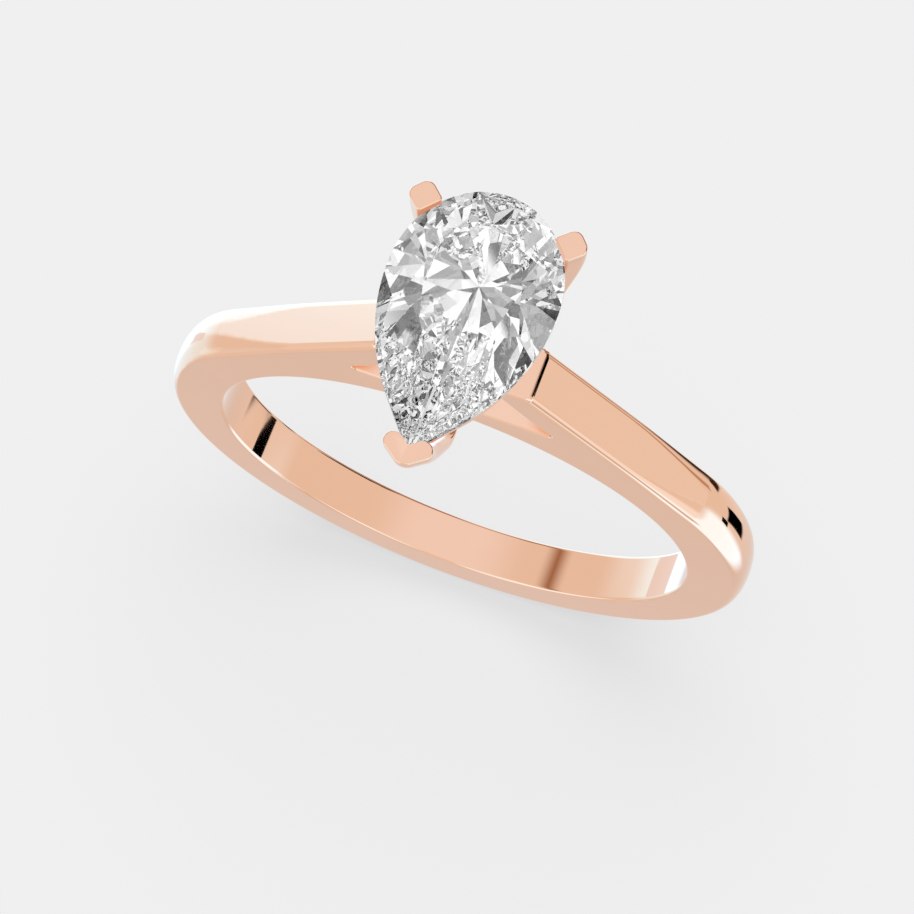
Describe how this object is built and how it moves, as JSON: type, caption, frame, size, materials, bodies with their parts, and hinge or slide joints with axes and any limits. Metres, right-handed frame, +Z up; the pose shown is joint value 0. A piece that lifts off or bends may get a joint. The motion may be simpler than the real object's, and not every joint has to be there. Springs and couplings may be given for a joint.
{
  "type": "engagement ring",
  "caption": "Engagement ring: a pear-cut clear stone in a claw head with a V claw at its point, carried by a cathedral band in rose gold.",
  "frame": {"origin": "under the middle of the ring's bounding box, on the floor the upright ring would stand on", "axes": "+Z up from the bottom of the band to the stone, +X across the finger hole to the right shoulder, +Y along the finger from the stone's point to its round end"},
  "size_m": [0.0214, 0.0092, 0.0264],
  "materials": {
    "rose_gold": "mirror polished",
    "diamond": "clear, faceted and polished"
  },
  "bodies": {
    "root": {"shank": "rose_gold", "shoulder_left": "rose_gold", "shoulder_right": "rose_gold", "finger_bridge": "rose_gold", "head_peg": "rose_gold", "lower_gallery_rail": "rose_gold", "upper_gallery_rail": "rose_gold", "claw_left": "rose_gold", "claw_right": "rose_gold", "v_claw": "rose_gold", "diamond": "diamond"}
  },
  "joints": []
}
